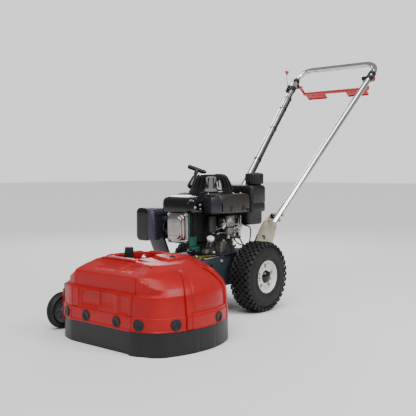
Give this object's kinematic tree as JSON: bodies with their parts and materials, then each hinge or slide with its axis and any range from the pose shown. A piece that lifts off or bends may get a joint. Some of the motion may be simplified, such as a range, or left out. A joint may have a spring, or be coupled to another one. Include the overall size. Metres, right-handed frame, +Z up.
{
  "type": "weed brush machine",
  "caption": "Walk-behind petrol weed brush with a moulded, skirted rotary head, offset to one side, two pneumatic wheels, a belt drive and a loop handlebar with bail and throttle.",
  "frame": {"origin": "middle of the machine's footprint, on the ground", "axes": "+Y points from the brush head back to the operator, +X to the operator's left, +Z up"},
  "size_m": [0.6426, 1.7216, 1.1045],
  "materials": {
    "steel_dark": "semi-gloss paint, scuffed",
    "plate_olive": "satin paint",
    "hood_red": "moulded, fine grain",
    "lever_red": "gloss paint",
    "black_plastic": "gloss",
    "black_matte": "matte",
    "skirt_rubber": "matte, flexible sheet",
    "tyre_rubber": "turf tread",
    "rim_white": "cream enamel",
    "steel_bright": "machined",
    "zinc": "passivated zinc",
    "chrome": "bright plated",
    "alloy": "die-cast",
    "cast": "cast, painted",
    "blue_cast": "gloss enamel",
    "teal": "gasket and shield",
    "wire": "crimped wire",
    "grey_paint": "satin paint",
    "heat_steel": "heat-tinted",
    "brown_plastic": "textured"
  },
  "bodies": {
    "machine": {"chassis_frame": "steel_dark", "engine_plate": "plate_olive", "rear_axle": "steel_bright", "brush_boom": "steel_dark", "head_plate": "steel_dark", "hood_front": "hood_red", "hood_left": "hood_red", "hood_right": "hood_red", "hood_plugs": "black_matte", "skirt_left": "skirt_rubber", "skirt_right": "skirt_rubber", "spindle_housing": "blue_cast", "spindle_bearings": "steel_bright", "frame_bolts": "steel_bright", "oil_pan": "cast", "engine_block": "alloy", "rocker_cover": "chrome", "cylinder_baffle": "teal", "blower_cowl": "black_plastic", "starter_cover": "black_plastic", "muffler": "heat_steel", "muffler_guard": "black_matte", "air_cleaner": "brown_plastic", "carburettor": "alloy", "fuel_tank": "black_plastic", "spark_plug_cap": "black_matte", "exhaust_deflector": "black_matte", "drive_belt": "skirt_rubber", "lower_cables": "black_matte", "support_lug": "steel_dark"},
    "wheel_left": {"tyre_left": "tyre_rubber", "rim_left": "rim_white", "hub_cap_left": "black_plastic"},
    "wheel_right": {"tyre_right": "tyre_rubber", "rim_right": "rim_white", "hub_cap_right": "black_plastic"},
    "support_arm": {"support_slide": "lever_red"},
    "support_wheel": {"support_tyre": "tyre_rubber", "support_hub": "grey_paint"},
    "brush": {"brush_spindle": "steel_bright", "driven_pulley": "cast", "brush_disc": "cast", "brush_wires": "wire"},
    "crank": {"crankshaft": "steel_bright", "flywheel_fan": "cast", "drive_pulley": "cast"},
    "tensioner": {"tensioner_arm": "zinc"},
    "idler": {"idler_pulley": "black_matte"},
    "handle": {"handlebar": "chrome", "handle_plates": "zinc", "handle_bolts": "steel_bright", "control_bracket": "black_matte", "handle_cables": "black_matte"},
    "bail": {"bail_lever": "lever_red"},
    "throttle": {"throttle_lever": "steel_bright", "throttle_knob": "lever_red"},
    "stop_switch": {"stop_button": "black_matte"},
    "starter": {"starter_grip": "black_matte"},
    "tank_cap": {"fuel_cap": "black_plastic"},
    "adjuster": {"adjuster_knob": "black_matte"}
  },
  "joints": [
    {"name": "wheel_left_spin", "type": "hinge", "parent": "machine", "child": "wheel_left", "pos_m": [0.0895, -0.06226, 0.14], "axis": [1, 0, 0], "continuous": true},
    {"name": "wheel_right_spin", "type": "hinge", "parent": "machine", "child": "wheel_right", "pos_m": [-0.2305, -0.06226, 0.14], "axis": [1, 0, 0], "continuous": true},
    {"name": "support_height", "type": "slide", "parent": "machine", "child": "support_arm", "axis": [0, 0, 1], "range_m": [0, 0.04]},
    {"name": "support_wheel_spin", "type": "hinge", "parent": "support_arm", "child": "support_wheel", "pos_m": [-0.2705, -0.76026, 0.065], "axis": [1, 0, 0], "continuous": true},
    {"name": "brush_spin", "type": "hinge", "parent": "machine", "child": "brush", "pos_m": [0.0445, -0.60726, 0.1], "axis": [0, 0, 1], "continuous": true},
    {"name": "crank_spin", "type": "hinge", "parent": "machine", "child": "crank", "pos_m": [-0.0705, -0.16726, 0.2], "axis": [0, 0, 1], "continuous": true},
    {"name": "handle_tilt", "type": "hinge", "parent": "machine", "child": "handle", "pos_m": [-0.0705, 0.00774, 0.203], "axis": [1, 0, 0], "range_deg": [-12, 12]},
    {"name": "bail_swing", "type": "hinge", "parent": "handle", "child": "bail", "pos_m": [-0.0705, 0.77974, 0.996], "axis": [1, 0, 0], "range_deg": [0, 82], "stiffness_Nm_per_rad": 0.8, "springref_deg": -17.19},
    {"name": "tensioner_swing", "type": "hinge", "parent": "machine", "child": "tensioner", "pos_m": [-0.11781, -0.31297, 0.2], "axis": [0, 0, 1], "range_deg": [0, 6]},
    {"name": "idler_spin", "type": "hinge", "parent": "tensioner", "child": "idler", "pos_m": [-0.10213, -0.37295, 0.188], "axis": [0, 0, 1], "continuous": true},
    {"name": "throttle_swing", "type": "hinge", "parent": "handle", "child": "throttle", "pos_m": [-0.30709, 0.73898, 0.98421], "axis": [0.9958, 0.0652, 0.0643], "range_deg": [0, 60]},
    {"name": "stop_push", "type": "slide", "parent": "handle", "child": "stop_switch", "axis": [0.9958, -0.0652, -0.0643], "range_m": [0, 0.003], "stiffness_N_per_m": 500, "springref_m": -0.002},
    {"name": "starter_pull", "type": "slide", "parent": "machine", "child": "starter", "axis": [-0.1203, 0.5713, 0.8119], "range_m": [0, 0.07], "stiffness_N_per_m": 60, "springref_m": -0.02},
    {"name": "tank_cap_turn", "type": "hinge", "parent": "machine", "child": "tank_cap", "pos_m": [0.0095, 0.01274, 0.519], "axis": [0, 0, 1], "range_deg": [0, 120]},
    {"name": "adjuster_turn", "type": "hinge", "parent": "machine", "child": "adjuster", "pos_m": [-0.0155, -0.67226, 0.24], "axis": [0, 0, 1], "range_deg": [-180, 180]}
  ],
  "couplings": [
    {"joint": "crank_spin", "follows": "brush_spin", "ratio": 2},
    {"joint": "tensioner_swing", "follows": "bail_swing", "ratio": 0.073}
  ]
}
